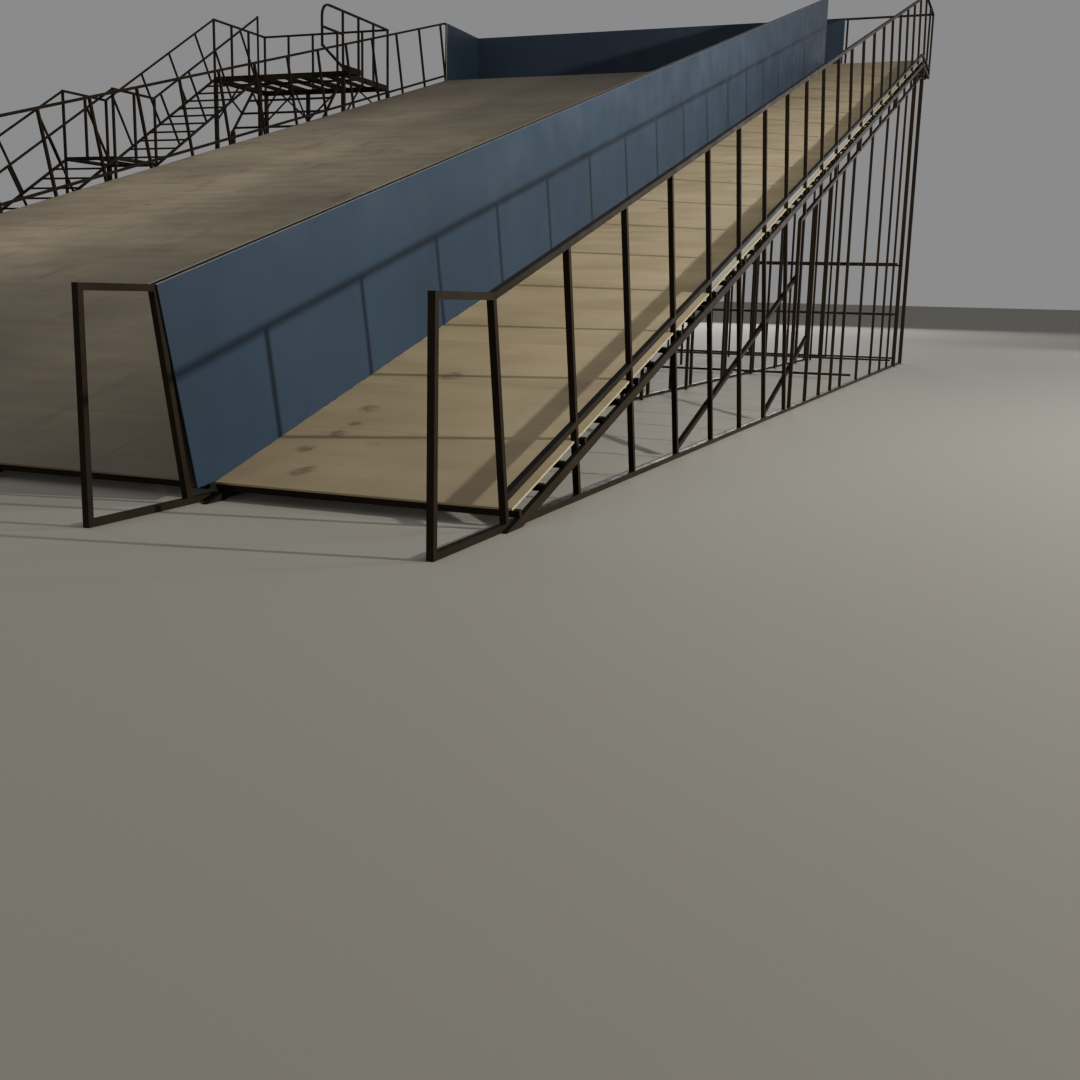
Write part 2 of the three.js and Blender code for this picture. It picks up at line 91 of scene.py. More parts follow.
def post_at_deck(j):
    """The y at which post j passes through the deck."""
    top = POST_TOP_START + POST_TOP_STEP * j
    foot = POST_FOOT_START + POST_FOOT_STEP * j
    top_z = min(Z_RAIL_FRONT + SLOPE * (top - POST_TOP_START), Z_TOP)
    y = foot
    for _ in range(30):
        y = foot + (top - foot) * deck_z(y) / top_z
    return y


crossings = [post_at_deck(j) for j in range(1, POST_COUNT + 1)]


# Mesh building
class Shape:
    """Gathers faces with texture coordinates and a tone, and turns them into one object."""

    def __init__(self):
        self.verts = []
        self.faces = []
        self.slots = []
        self.coords = []
        self.tones = []

    def add(self, points, faces, slots=None, coords=None, tone=0.5):
        base = len(self.verts)
        self.verts += [tuple(p) for p in points]
        for i, face in enumerate(faces):
            self.faces.append([base + v for v in face])
            self.slots.append(slots[i] if slots else 0)
            self.coords += coords[i] if coords else [(0.0, 0.0)] * len(face)
            self.tones += [tone] * len(face)

    def build(self, name, materials, bevel=0.0):
        mesh = bpy.data.meshes.new(name)
        mesh.from_pydata(self.verts, [], self.faces)
        for material in materials:
            mesh.materials.append(material)
        mesh.polygons.foreach_set("material_index", self.slots)
        layer = mesh.uv_layers.new(name="board")
        layer.data.foreach_set("uv", [c for pair in self.coords for c in pair])
        tones = mesh.color_attributes.new("tone", "FLOAT_COLOR", "CORNER")
        tones.data.foreach_set("color", [c for t in self.tones for c in (t, t, t, 1.0)])
        obj = bpy.data.objects.new(name, mesh)
        bpy.context.scene.collection.objects.link(obj)
        if bevel:
            ease_edges(obj, bevel)
        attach(obj, "root")
        return obj


def ease_edges(obj, width):
    bevel = obj.modifiers.new("rounded edges", "BEVEL")
    bevel.width = width
    bevel.segments = 1
    bevel.limit_method = "ANGLE"
    bevel.angle_limit = math.radians(50)


def board(shape, outline, place, thick, tone, painted=()):
    """A board: outline is a list of (u, v) in metres, place maps (u, v, w) to the part.

    The sides whose numbers are in painted are finished as the face is, the others show the plies.
    """
    n = len(outline)
    du, dv = random.uniform(0, 40), random.uniform(0, 40)
    points = [place(u, v, 0.0) for u, v in outline] + [place(u, v, -thick) for u, v in outline]
    flat = [(u + du, v + dv) for u, v in outline]
    faces = [list(range(n)), list(range(2 * n - 1, n - 1, -1))]
    coords = [flat, [flat[2 * n - 1 - i] for i in faces[1]]]
    slots = [0, 1]
    start = du
    for i in range(n):
        j = (i + 1) % n
        end = start + math.dist(outline[i], outline[j])
        faces.append([i, n + i, n + j, j])
        coords.append([(start, 0.0), (start, thick), (end, thick), (end, 0.0)])
        slots.append(0 if i in painted else 2)
        start = end
    shape.add(points, faces, slots, coords, tone)


CHAMFER = 0.004
WALL = 0.003
OPEN_DEPTH = 0.07


def tube(shape, start, end, wide=TUBE, thick=TUBE, side=ACROSS, open_end=False):
    """A straight square tube with eased corners; thick lies along the side direction."""
    a, b = Vector(start), Vector(end)
    along = (b - a).normalized()
    side = (side - along * side.dot(along)).normalized()
    other = along.cross(side)

    def ring(centre, inset):
        p, q = thick / 2 - inset, wide / 2 - inset
        c = max(CHAMFER - inset, 0.001)
        half_ring = [(p, q - c), (p - c, q), (c - p, q), (-p, q - c)]
        corners = half_ring + [(-u, -v) for u, v in half_ring]
        return [centre + side * u + other * v for u, v in corners]

    points = ring(a, 0) + ring(b, 0)
    faces = [[i, (i + 1) % 8, 8 + (i + 1) % 8, 8 + i] for i in range(8)]
    faces.append(list(range(7, -1, -1)))
    if open_end:
        points += ring(b, WALL) + ring(b - along * OPEN_DEPTH, WALL)
        for i in range(8):
            j = (i + 1) % 8
            faces += [[8 + j, 16 + j, 16 + i, 8 + i], [16 + j, 24 + j, 24 + i, 16 + i]]
        faces.append(list(range(24, 32)))
    else:
        faces.append(list(range(8, 16)))
    shape.add(points, faces)


# Materials
class Finish:
    """A procedural material, put together from nodes."""

    def __init__(self, name):
        self.material = bpy.data.materials.new(name)
        self.material.use_nodes = True
        self.nodes = self.material.node_tree.nodes
        self.links = self.material.node_tree.links
        self.shader = self.nodes["Principled BSDF"]

    def drive(self, socket_name, source):
        self.links.new(source, self.shader.inputs[socket_name])

    def part_coordinates(self):
        return self.nodes.new("ShaderNodeTexCoord").outputs["Object"]

    def board_coordinates(self):
        uv = self.nodes.new("ShaderNodeUVMap")
        uv.uv_map = "board"
        return uv.outputs["UV"]

    def stretched(self, source, scale):
        mapping = self.nodes.new("ShaderNodeMapping")
        mapping.inputs["Scale"].default_value = scale
        self.links.new(source, mapping.inputs["Vector"])
        return mapping.outputs["Vector"]

    def noise(self, source, scale, detail, stretch=None):
        if stretch:
            source = self.stretched(source, stretch)
        texture = self.nodes.new("ShaderNodeTexNoise")
        texture.inputs["Scale"].default_value = scale
        texture.inputs["Detail"].default_value = detail
        self.links.new(source, texture.inputs["Vector"])
        return texture.outputs["Fac"]

    def ramp(self, source, *stops):
        """Turns a value into a colour or a grey; stops are (value, colour or grey)."""
        node = self.nodes.new("ShaderNodeValToRGB")
        while len(node.color_ramp.elements) < len(stops):
            node.color_ramp.elements.new(0.5)
        for element, (position, colour) in zip(node.color_ramp.elements, stops):
            element.position = position
            element.color = (*colour, 1.0) if isinstance(colour, tuple) else (colour, colour, colour, 1.0)
        self.links.new(source, node.inputs["Fac"])
        return node.outputs["Color"]

    def blend(self, factor, first, second, kind="MIX"):
        node = self.nodes.new("ShaderNodeMix")
        node.data_type = "RGBA"
        node.blend_type = kind
        for socket_name, value in (("Factor", factor), ("A", first), ("B", second)):
            socket = node.inputs[socket_name]
            if isinstance(value, (int, float)):
                socket.default_value = value
            elif isinstance(value, tuple):
                socket.default_value = (*value, 1.0)
            else:
                self.links.new(value, socket)
        return node.outputs["Result"]

    def multiply(self, factor, first, second):
        return self.blend(factor, first, second, "MULTIPLY")

    def along_axis(self, vector, axis, low, high, top=1.0):
        """Rises from 0 at low to top at high along one axis of a vector."""
        parts = self.nodes.new("ShaderNodeSeparateXYZ")
        self.links.new(vector, parts.inputs["Vector"])
        rise = self.nodes.new("ShaderNodeMapRange")
        rise.inputs["From Min"].default_value = low
        rise.inputs["From Max"].default_value = high
        rise.inputs["To Max"].default_value = top
        self.links.new(parts.outputs[axis], rise.inputs["Value"])
        return rise.outputs["Result"]

    def bump(self, height, strength, distance):
        node = self.nodes.new("ShaderNodeBump")
        node.inputs["Strength"].default_value = strength
        node.inputs["Distance"].default_value = distance
        self.links.new(height, node.inputs["Height"])
        self.drive("Normal", node.outputs["Normal"])


def make_steel(name, dark, light, dust):
    """Dark brown paint with rust and worn specks; the faces that look up get dust with a painted blue-grey
    sheen.
    """
    finish = Finish(name)
    place = finish.part_coordinates()
    fine = finish.noise(place, 46, 3)
    colour = finish.ramp(finish.noise(place, 1.7, 5), (0.3, dark), (0.72, light))
    rust = finish.ramp(finish.noise(place, 7.5, 6), (0.6, 0.0), (0.72, 0.6))
    colour = finish.blend(rust, colour, (0.030, 0.014, 0.008))
    colour = finish.blend(finish.ramp(fine, (0.35, 0.0), (0.8, 0.3)), colour, light)
    # Faces that look up take the dust colour in patches: for the steel this is dust with a painted
    # blue-grey sheen
    normal = finish.nodes.new("ShaderNodeNewGeometry").outputs["Normal"]
    top_dust_and_sheen = finish.nodes.new("ShaderNodeMath")
    top_dust_and_sheen.operation = "MULTIPLY"
    finish.links.new(finish.along_axis(normal, "Z", 0.55, 0.95), top_dust_and_sheen.inputs[0])
    finish.links.new(finish.ramp(finish.noise(place, 3.1, 5), (0.3, 0.25), (0.7, 0.85)), top_dust_and_sheen.inputs[1])
    finish.drive("Base Color", finish.blend(top_dust_and_sheen.outputs["Value"], colour, dust))
    finish.drive("Roughness", finish.ramp(finish.noise(place, 5.2, 4), (0.3, 0.38), (0.7, 0.52)))
    finish.shader.inputs["Specular IOR Level"].default_value = 0.03
    finish.bump(fine, 0.25, 0.0012)
    return finish.material


def make_wood(name, pale, deep, dirt_and_shade, soil_amount, knot_places=()):
    """Rotary-cut plywood: broad wavy figure, fine fibres along the board, a few knots and dust, darker
    towards the front foot (dirt and painted shade) and towards the crest (painted shade).

    knot_places are knots at chosen points of the part, as (point, radius).
    """
    finish = Finish(name)
    place = finish.board_coordinates()
    where = finish.part_coordinates()
    wide = finish.noise(place, 1.0, 5, (0.8, 2.6, 1))
    fibres = finish.noise(place, 1.0, 6, (9, 190, 1))
    bands = finish.nodes.new("ShaderNodeTexWave")
    bands.bands_direction = "Y"
    bands.inputs["Scale"].default_value = 2.6
    bands.inputs["Distortion"].default_value = 9
    bands.inputs["Detail"].default_value = 3
    bands.inputs["Detail Scale"].default_value = 0.7
    finish.links.new(finish.stretched(place, (0.35, 1.6, 1)), bands.inputs["Vector"])
    figure = finish.ramp(bands.outputs["Fac"], (0.0, 0.80), (0.5, 0.98), (1.0, 1.0))
    colour = finish.multiply(0.35, finish.ramp(wide, (0.28, deep), (0.62, pale)), figure)
    colour = finish.multiply(0.30, colour, finish.ramp(fibres, (0.3, 0.72), (0.62, 1.0)))

    knots = finish.nodes.new("ShaderNodeTexVoronoi")
    knots.feature = "F1"
    knots.inputs["Scale"].default_value = 1.15
    finish.links.new(finish.stretched(place, (0.62, 1.0, 1)), knots.inputs["Vector"])
    knot_mask = finish.ramp(knots.outputs["Distance"], (0.016, 0.85), (0.045, 0.0))
    colour = finish.blend(knot_mask, colour, (0.10, 0.055, 0.028))
    ragged = finish.ramp(finish.noise(where, 9, 5, (0.6, 1, 1)), (0.42, 0.2), (0.56, 1.0))
    for centre, radius in knot_places:
        away = finish.nodes.new("ShaderNodeVectorMath")
        away.operation = "DISTANCE"
        away.inputs[1].default_value = centre
        finish.links.new(where, away.inputs[0])
        spot = finish.ramp(away.outputs["Value"], (radius * 0.3, 1.0), (radius * 0.65, 0.0))
        colour = finish.blend(finish.multiply(1.0, spot, ragged), colour, (0.14, 0.08, 0.035))

    tone = finish.nodes.new("ShaderNodeVertexColor")
    tone.layer_name = "tone"
    colour = finish.multiply(1.0, colour, finish.ramp(tone.outputs["Color"], (0.0, 0.88), (1.0, 1.0)))
    stains = finish.ramp(finish.noise(where, 0.33, 6), (0.36, 0.0), (0.66, soil_amount))
    colour = finish.blend(stains, colour, dirt_and_shade)
    scratched = finish.noise(where, 2.3, 8, (1, 0.35, 0.35))
    scuffs = finish.ramp(scratched, (0.58, 0.0), (0.74, soil_amount * 0.8))
    colour = finish.blend(scuffs, colour, dirt_and_shade)
    # Darker towards the front foot, as dirt and painted shade, and towards the crest, as painted shade
    for light_end_y, dark_end_y, amount in ((-8.0, -15.0, 0.8), (1.0, 14.0, 0.85)):
        colour = finish.blend(finish.along_axis(where, "Y", light_end_y, dark_end_y, amount), colour, dirt_and_shade)
    finish.drive("Base Color", colour)
    finish.drive("Roughness", finish.ramp(wide, (0.3, 0.62), (0.7, 0.82)))
    finish.bump(fibres, 0.2, 0.0008)
    return finish.material


def make_ply_edge(name, pale, deep):
    """The cut edge of a board, with its plies."""
    finish = Finish(name)
    place = finish.board_coordinates()
    plies = finish.nodes.new("ShaderNodeTexWave")
    plies.bands_direction = "Y"
    plies.wave_profile = "SAW"
    plies.inputs["Scale"].default_value = 90
    plies.inputs["Distortion"].default_value = 0.6
    finish.links.new(place, plies.inputs["Vector"])
    layers = finish.ramp(plies.outputs["Fac"], (0.42, pale), (0.58, deep))
    patches = finish.ramp(finish.noise(place, 9, 4), (0.35, 0.7), (0.65, 1.0))
    finish.drive("Base Color", finish.multiply(1.0, layers, patches))
    finish.shader.inputs["Roughness"].default_value = 0.82
    return finish.material


def make_paint(name, deep, pale):
    """Rolled blue paint: soft clouds, faint runs and dust, duller uphill, a light orange-peel texture."""
    finish = Finish(name)
    place = finish.part_coordinates()
    colour = finish.ramp(finish.noise(place, 0.55, 5), (0.3, deep), (0.7, pale))
    runs = finish.ramp(finish.noise(place, 1.0, 4, (3, 3, 0.5)), (0.3, 0.9), (0.75, 1.0))
    colour = finish.multiply(0.6, colour, runs)
    dust = finish.ramp(finish.noise(place, 1.3, 8), (0.55, 0.0), (0.85, 0.12))
    colour = finish.blend(dust, colour, (0.10, 0.105, 0.105))
    dulled = finish.along_axis(place, "Y", 3.0, 13.0, 0.3)
    finish.drive("Base Color", finish.blend(dulled, colour, (0.024, 0.023, 0.026)))
    finish.drive("Roughness", finish.ramp(finish.noise(place, 2.1, 4), (0.3, 0.46), (0.7, 0.6)))
    finish.shader.inputs["Specular IOR Level"].default_value = 0.22
    finish.bump(finish.noise(place, 95, 2), 0.12, 0.001)
    return finish.material


# Knots near the front edge of the right lane, as x, y and radius
KNOTS = ((6.90, -13.22, 0.16), (6.98, -12.32, 0.18), (7.15, -13.60, 0.13), (7.04, -12.67, 0.12),
         (7.10, -13.66, 0.15), (7.00, -12.88, 0.14), (7.42, -13.05, 0.12), (7.33, -11.42, 0.2))
KNOT_PLACES = [((x, y, deck_z(y)), radius) for x, y, radius in KNOTS]

# The steel's last colour, for the faces that look up, is dust with a painted blue-grey sheen
STEEL = make_steel("steel", (0.0165, 0.0125, 0.0085), (0.0255, 0.0195, 0.0135), (0.0085, 0.0105, 0.0120))
SCREW = make_steel("screw", (0.10, 0.085, 0.05), (0.22, 0.19, 0.12), (0.2, 0.18, 0.15))
WOOD = make_wood("plywood", (0.655, 0.535, 0.30), (0.495, 0.385, 0.203), (0.22, 0.18, 0.12), 0.35,
                 KNOT_PLACES)
DUSTY_WOOD = make_wood("dusty_plywood", (0.48, 0.412, 0.272), (0.345, 0.292, 0.19),
                       (0.076, 0.058, 0.046), 0.36)
RAW_WOOD = make_wood("bare_plywood", (0.42, 0.33, 0.21), (0.30, 0.22, 0.13), (0.2, 0.17, 0.13), 0.2)
GREY_BOARD = make_wood("grey_board", (0.24, 0.24, 0.245), (0.19, 0.19, 0.195), (0.12, 0.115, 0.11), 0.3)
PLY_EDGE = make_ply_edge("plywood_edge", (0.60, 0.55, 0.28), (0.36, 0.29, 0.13))
PANEL_EDGE = make_ply_edge("panel_edge", (0.50, 0.48, 0.42), (0.36, 0.34, 0.30))
PAINT = make_paint("blue_paint", (0.0175, 0.0315, 0.0555), (0.023, 0.0405, 0.070))

# Frame nodes keep their shapes and take the steel
for name, obj in nodes.items():
    if name.endswith(("_deck", "_skin", "_skin_left", "_skin_right")):
        continue
    if not obj.data.materials:
        obj.data.materials.append(STEEL)
    for i in range(len(obj.data.materials)):
        obj.data.materials[i] = STEEL

# Plywood boards, laid across the lanes
BOARD_LONG = 2.44
BOARD_WIDE = 1.22
SEAM = 0.0016
BOARD_EASE = 0.0012
UNEVEN = 0.0008
LANE_LENGTH = (Y_CREST - Y_FRONT) * STRETCH
RIGHT_LANE = (X_DIVIDER + HALF + SHEET + 2 * GAP, 9.010)
LEFT_LANE = (X_LEFT + HALF + GAP, X_DIVIDER - HALF - SHEET - 2 * GAP)
NOTCH_X = X_RIGHT - HALF - GAP
NOTCH_HALF = 0.045


def rows(length, wide):
    """Divides a length into equal spans of about the given width."""
    count = max(1, round(length / wide))
    return [(length * i / count, length * (i + 1) / count) for i in range(count)]


def courses(width, shift):
    """Cuts a row of boards: each is one board long, the first one shortened by the shift."""
    cuts = [0.0]
    at = BOARD_LONG - shift
    while at < width - 0.15:
        cuts.append(at)
        at += BOARD_LONG
    return list(zip(cuts, cuts[1:] + [width]))


def trimmed(start, end, seam):
    """The span without half a seam at both its ends."""
    return start + seam / 2, end - seam / 2


def rectangle(u0, u1, v0, v1):
    return [(u0, v0), (u1, v0), (u1, v1), (u0, v1)]


def notched_edge(s0, s1):
    """The right edge of a board, from its lower to its upper corner, with a notch for each post."""
    edge = [(RIGHT_LANE[1], s0)]
    for y in crossings:
        s = (y - Y_FRONT) * STRETCH
        low, high = max(s - NOTCH_HALF, s0), min(s + NOTCH_HALF, s1)
        if low >= high:
            continue
        if low == s0:
            edge[0] = (NOTCH_X, s0)
        else:
            edge += [(RIGHT_LANE[1], low), (NOTCH_X, low)]
        if high < s1:
            edge += [(NOTCH_X, high), (RIGHT_LANE[1], high)]
    edge.append((edge[-1][0], s1))
    return edge


def uneven_slope():
    """A place on the slope for one board, a hair lower than the deck."""
    lift = random.uniform(-UNEVEN, 0)
    return lambda x, s, w: lane_point(x, s, w + lift)


right_boards = Shape()
for s0, s1 in rows(LANE_LENGTH, BOARD_WIDE):
    low, high = trimmed(s0, s1, SEAM)
    outline = [(RIGHT_LANE[0], low)] + notched_edge(low, high) + [(RIGHT_LANE[0], high)]
    seams = [0, len(outline) - 2, len(outline) - 1]
    board(right_boards, outline, uneven_slope(), PLY, random.random(), seams)
boards = right_boards.build("right_lane_boards", [WOOD, RAW_WOOD, PLY_EDGE], BOARD_EASE)
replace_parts(boards, "right_lane_deck")

left_boards = Shape()
for i, (s0, s1) in enumerate(rows(LANE_LENGTH, BOARD_WIDE)):
    for x0, x1 in courses(LEFT_LANE[1] - LEFT_LANE[0], BOARD_LONG / 2 * (i % 2)):
        across = trimmed(LEFT_LANE[0] + x0, LEFT_LANE[0] + x1, SEAM)
        outline = rectangle(*across, *trimmed(s0, s1, SEAM))
        board(left_boards, outline, uneven_slope(), PLY, random.random(), range(4))
boards = left_boards.build("left_lane_boards", [DUSTY_WOOD, RAW_WOOD, PLY_EDGE], BOARD_EASE)
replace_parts(boards, "left_lane_deck")

platform_lo, platform_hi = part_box("platform_deck")


def platform_point(u, v, w):
    return Vector((platform_lo.x + u, platform_lo.y + v, platform_hi.z + w))


platform_boards = Shape()
platform_rows = ((0.0, BOARD_WIDE), (BOARD_WIDE, platform_hi.y - platform_lo.y))
for i, (v0, v1) in enumerate(platform_rows):
    for u0, u1 in courses(platform_hi.x - platform_lo.x, BOARD_LONG / 2 * i):
        outline = rectangle(*trimmed(u0, u1, SEAM), *trimmed(v0, v1, SEAM))
        board(platform_boards, outline, platform_point, PLY, random.random(), range(4))
boards = platform_boards.build("platform_boards", [DUSTY_WOOD, RAW_WOOD, PLY_EDGE], BOARD_EASE)
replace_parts(boards, "platform_deck")

# Blue panels on both faces of the divider, each cut square to the slope
PANEL_SEAM = 0.0006
PANEL_LEAN = 0.21
PANEL_COUNT = 22
FIRST_CUT = -13.4
LAST_EDGE = 12.97
FIRST_TOP = -14.551
FRONT_TOE = (-14.163, 0.115)
PANEL_MATERIALS = [PAINT, RAW_WOOD, PANEL_EDGE]


def panel_top(y):
    return min(Z_RAIL_FRONT + SLOPE * (y - FIRST_TOP), Z_TOP) + HALF


def top_corner(y):
    return y, panel_top(y)


def foot_corner(y):
    return y, deck_z(y) + 0.0015


def leaning_top(y):
    """The top corner of a panel's edge that leaves the deck at y."""
    top = y
    for _ in range(12):
        top = y - PANEL_LEAN * (panel_top(top) - foot_corner(y)[1])
    return top_corner(top)


def on_top(a, b):
    return abs(a[1] - panel_top(a[0])) < 0.001 and abs(b[1] - panel_top(b[0])) < 0.001


def divider_outline(y0, y1, is_first, is_last):
    feet = [foot_corner(y0), foot_corner(y1)]
    if is_first:
        return [FRONT_TOE] + feet + [leaning_top(y1), top_corner(FIRST_TOP - 0.005)]
    if not is_last:
        return feet + [leaning_top(y1), leaning_top(y0)]
    tops = [top_corner(LAST_EDGE)]
    peak = FIRST_TOP + (Z_TOP - Z_RAIL_FRONT) / SLOPE
    if leaning_top(y0)[0] < peak < LAST_EDGE:
        tops.append(top_corner(peak))
    return feet + tops + [leaning_top(y0)]


def divider_panels(name, x_face, outward):
    shape = Shape()
    edges = [Y_FRONT] + [FIRST_CUT + BOARD_WIDE / STRETCH * i for i in range(PANEL_COUNT)] + [LAST_EDGE]
    last = len(edges) - 2
    for i in range(last + 1):
        y0, y1 = trimmed(edges[i], edges[i + 1], PANEL_SEAM)
        outline = divider_outline(y0, y1, i == 0, i == last)
        if outward < 0:
            outline.reverse()
        corners = zip(outline, outline[1:] + outline[:1])
        painted = [k for k, (a, b) in enumerate(corners) if not on_top(a, b)]
        board(shape, outline, lambda y, z, w: Vector((x_face + w * outward, y, z)), SHEET,
              random.random(), painted)
    return shape.build(name, PANEL_MATERIALS)


FACE_OFFSET = HALF + GAP + SHEET
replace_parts(divider_panels("divider_panels_right", X_DIVIDER + FACE_OFFSET, 1), "divider_skin_right")
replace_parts(divider_panels("divider_panels_left", X_DIVIDER - FACE_OFFSET, -1), "divider_skin_left")


def upright_panels(name, node, along):
    """Panels of a level wall, cut every board's width."""
    lo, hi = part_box(node)

    def place(u, z, w):
        if along == "y":
            return Vector((hi.x + w, lo.y + u, z))
        return Vector((lo.x + u, lo.y - w, z))

    shape = Shape()
    span = hi.y - lo.y if along == "y" else hi.x - lo.x
    for u0, u1 in rows(span, BOARD_WIDE):
        outline = rectangle(*trimmed(u0, u1, PANEL_SEAM), lo.z, hi.z)
        board(shape, outline, place, SHEET, random.random())
    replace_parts(shape.build(name, PANEL_MATERIALS), node)


upright_panels("left_return_panels", "left_return_skin", "y")
upright_panels("back_wall_panels", "back_wall_skin", "x")

# Thin joists of both lanes, with open tube ends along the outer edge of the right one
FIRST_JOISTS = [-13.473, -13.054]
EXTRA_STEPS = (0.54, 0.96)
LAST_JOIST = Y_CREST - 0.1
RIGHT_JOIST_END = 9.06

joist_ys = FIRST_JOISTS + [y + step for y in crossings[:-3] for step in EXTRA_STEPS]
joist_ys = [y for y in joist_ys if y < LAST_JOIST]


def fine_joists(name, x0, x1, open_end):
    shape = Shape()
    drop = (PLY + GAP + JOIST / 2) * STRETCH
    for y in joist_ys:
        z = deck_z(y) - drop
        tube(shape, (x0, y, z), (x1, y, z), JOIST, JOIST_WIDE, UP_SLOPE, open_end)
    shape.build(name, [STEEL])


fine_joists("right_lane_fine_joists", RIGHT_LANE[0] + 0.005, RIGHT_JOIST_END, True)
fine_joists("left_lane_fine_joists", X_LEFT + HALF + 0.001, LEFT_LANE[1], False)

# Screw heads over the joists
SCREW_SIDES = 6
SCREW_RADIUS = 0.0045
SCREW_PROUD = 0.0012
SCREW_DEEP = 0.003
SCREW_EDGE = 0.06


def screw_places(x0, x1, pitch):
    span = x1 - x0 - 2 * SCREW_EDGE
    count = round(span / pitch)
    return [(x0 + SCREW_EDGE + span * i / count + random.uniform(-0.01, 0.01),
             y + random.uniform(-0.008, 0.008)) for y in joist_ys[::2] for i in range(count + 1)]


def screw_heads(name, places):
    shape = Shape()
    turns = [math.tau * i / SCREW_SIDES for i in range(SCREW_SIDES)]
    rim = [(ACROSS * math.cos(a) + UP_SLOPE * math.sin(a)) * SCREW_RADIUS for a in turns]
    faces = [list(range(SCREW_SIDES))]
    for i in range(SCREW_SIDES):
        j = (i + 1) % SCREW_SIDES
        faces.append([i, i + SCREW_SIDES, j + SCREW_SIDES, j])
    faces.append(list(range(2 * SCREW_SIDES - 1, SCREW_SIDES - 1, -1)))
    for x, y in places:
        centre = Vector((x, y, deck_z(y)))
        top = [centre + OFF_SLOPE * SCREW_PROUD + p for p in rim]
        base = [p - OFF_SLOPE * SCREW_DEEP for p in top]
        shape.add(top + base, faces)
    shape.build(name, [SCREW])


screw_heads("right_lane_screws", screw_places(RIGHT_LANE[0], NOTCH_X, 0.4))
screw_heads("left_lane_screws", screw_places(*LEFT_LANE, 0.6))

# Light grey kick boards on the inner faces of the right posts, from the fourth post up
KICK_LOW = 0.002
KICK_HIGH = 0.12
KICK_THICK = 0.012
KICK_START = (crossings[3] - Y_FRONT) * STRETCH
kick_boards = Shape()
for s0, s1 in rows(LANE_LENGTH - KICK_START, BOARD_LONG):
    outline = rectangle(*trimmed(KICK_START + s0, KICK_START + s1, SEAM), KICK_LOW, KICK_HIGH)
    board(kick_boards, outline, lambda s, rise, w: lane_point(NOTCH_X + w, s, rise), KICK_THICK,
          random.random(), range(4))
kick_boards.build("right_kick_boards", [GREY_BOARD, GREY_BOARD, PLY_EDGE])

# Stout stubs between the lower chord and the outer stringer of the right lane
STUB = 0.088
STUB_X = 9.02
STUB_YS = (2.30, 7.60, 11.52)
CHORD_DROP = 0.42
STRINGER_UNDER = 0.153
stubs = Shape()
for y in STUB_YS:
    low, high = deck_z(y) - CHORD_DROP + HALF, deck_z(y) - STRINGER_UNDER + 0.01
    tube(stubs, (STUB_X, y, low), (STUB_X, y, high), STUB, STUB)
stubs.build("right_wall_stubs", [STEEL])

# Joists of the upper landing and one below the middle landing
STAIR_LEFT, STAIR_MID, STAIR_RIGHT = -9.04, -7.62, -5.06
WALKWAY_X = -8.33
LANDING_COLUMN_X = -6.34
UPPER_FRONT, UPPER_BACK = 8.02, 10.45
UPPER_TIE_Y = 9.2
landing_lo, landing_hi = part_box("upper_landing")
UPPER_UNDER, UPPER_TOP = landing_lo.z, landing_hi.z
MIDDLE_FRONT, MIDDLE_BACK, MIDDLE_Z = 2.165, 3.575, 4.455
landing_parts = Shape()
for x in (WALKWAY_X, -6.98, -5.70):
    tube(landing_parts, (x, UPPER_FRONT + HALF, UPPER_TOP - TUBE), (x, UPPER_BACK - HALF, UPPER_TOP - TUBE),
         2 * TUBE)
tie_xs = (STAIR_LEFT, STAIR_MID, LANDING_COLUMN_X, STAIR_RIGHT)
for x0, x1 in zip(tie_xs, tie_xs[1:]):
    start, end = (x0 + HALF, UPPER_TIE_Y, UPPER_TOP - HALF), (x1 - HALF, UPPER_TIE_Y, UPPER_TOP - HALF)
    tube(landing_parts, start, end, side=ALONG)
tube(landing_parts, (WALKWAY_X, MIDDLE_FRONT, MIDDLE_Z), (WALKWAY_X, MIDDLE_BACK, MIDDLE_Z))
landing_parts.build("landing_joists", [STEEL])

# Knee braces below the upper landing, and one in the corner of the raking frame
BRACE = 0.04
OUTER_X = STAIR_LEFT + HALF
braces = Shape()
for x in (OUTER_X, STAIR_MID, STAIR_RIGHT):
    tube(braces, (x, UPPER_FRONT + TUBE, 6.10), (x, 9.05, UPPER_UNDER), BRACE, BRACE)
    tube(braces, (x, UPPER_BACK - TUBE, 6.30), (x, 9.75, UPPER_UNDER), BRACE, BRACE)
for x, way in ((OUTER_X, 1), (STAIR_MID, 1), (STAIR_MID, -1), (STAIR_RIGHT, -1)):
    foot = (x + way * TUBE, UPPER_BACK, 6.40)
    tube(braces, foot, (x + way * 0.85, UPPER_BACK, UPPER_UNDER), BRACE, BRACE, ALONG)
tube(braces, (STAIR_MID, 6.78, 6.34), (STAIR_MID, 7.19, 6.09), BRACE, BRACE)
braces.build("landing_knee_braces", [STEEL])

# Floor, light and camera
FLOOR_RADIUS = 900.0
FLOOR_SIDES = 96
floor_turns = [math.tau * i / FLOOR_SIDES for i in range(FLOOR_SIDES)]
floor_mesh = bpy.data.meshes.new("floor")
floor_mesh.from_pydata([(FLOOR_RADIUS * math.cos(a), FLOOR_RADIUS * math.sin(a), 0) for a in floor_turns],
                       [], [list(range(FLOOR_SIDES))])
floor = bpy.data.objects.new("floor", floor_mesh)
bpy.context.scene.collection.objects.link(floor)
floor_finish = Finish("floor")
floor_finish.shader.inputs["Base Color"].default_value = (0.29, 0.28, 0.24, 1)
floor_finish.shader.inputs["Roughness"].default_value = 0.8
floor_mesh.materials.append(floor_finish.material)

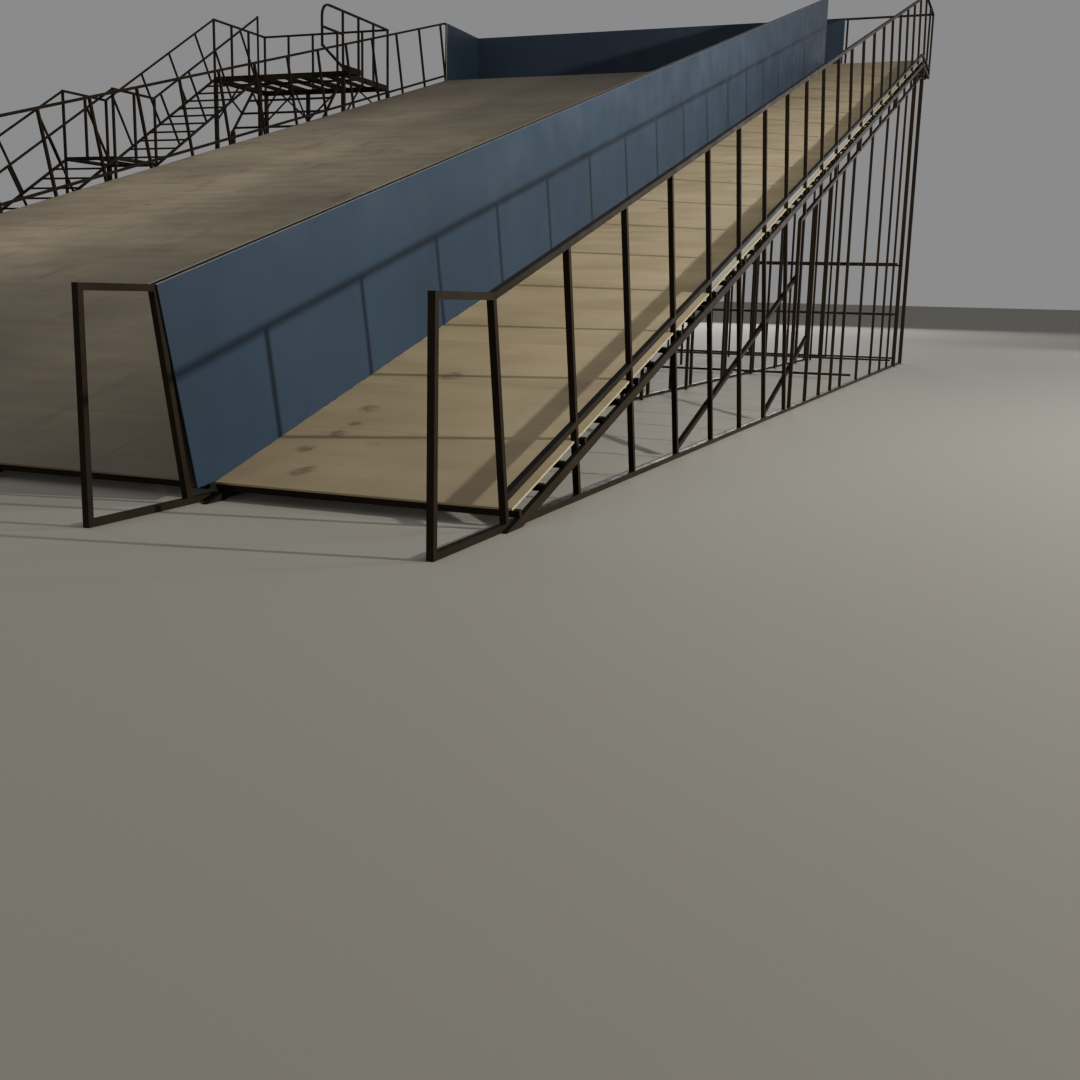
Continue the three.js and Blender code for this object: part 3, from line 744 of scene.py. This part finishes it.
world = bpy.data.worlds.new("studio")
bpy.context.scene.world = world
world.use_nodes = True
background = world.node_tree.nodes["Background"]
background.inputs["Color"].default_value = (0.80, 0.80, 0.82, 1)
background.inputs["Strength"].default_value = 0.33

# Each light: name, place, target, size in metres, power in watts, colour
LIGHTS = (
    ("key", (29, -11, 7.5), (2, 14, 4), 0.65, 7600, (1.0, 0.95, 0.85)),
    ("side_fill", (32, 6, 13), (3, 1, 4), 6.0, 2250, (0.96, 0.98, 1.0)),
    ("overhead", (22, -8, 15), (3, -3, 2), 7.0, 350, (1.0, 0.97, 0.88)),
    ("front_fill", (-6, -46, 7), (0, 0, 3), 10.0, 1500, (1.0, 0.97, 0.92)),
    ("left_fill", (-46, 2, 14), (0, 2, 3), 14.0, 3000, (0.97, 0.98, 1.0)),
    ("back_fill", (-8, 62, 14), (0, 10, 4), 16.0, 8500, (1.0, 0.98, 0.95)),
    ("rim", (20, 28, 7), (5, 2, 3), 11.0, 700, (0.95, 0.97, 1.0)),
)
for name, place, target, size, power, colour in LIGHTS:
    lamp_data = bpy.data.lights.new(name, "AREA")
    lamp_data.shape = "DISK"
    lamp_data.size = size
    lamp_data.energy = power
    lamp_data.color = colour
    lamp = bpy.data.objects.new(name, lamp_data)
    lamp.location = place
    lamp.rotation_euler = (Vector(target) - Vector(place)).to_track_quat("-Z", "Y").to_euler()
    lamp.visible_camera = False
    bpy.context.scene.collection.objects.link(lamp)

CAMERA_PLACE = (12.26, -21.83, 1.6)
YAW, PITCH, ROLL = 0.3680, 0.1949, 0.0241
camera_data = bpy.data.cameras.new("camera")
camera_data.sensor_width = 36
camera_data.lens = 41.39
camera_data.clip_end = 2000
camera = bpy.data.objects.new("camera", camera_data)
tilt_down = Matrix.Rotation(math.pi / 2 - PITCH, 4, "X")
turn = Matrix.Rotation(YAW, 4, "Z") @ tilt_down @ Matrix.Rotation(ROLL, 4, "Z")
camera.matrix_world = Matrix.Translation(CAMERA_PLACE) @ turn
bpy.context.scene.collection.objects.link(camera)
bpy.context.scene.camera = camera
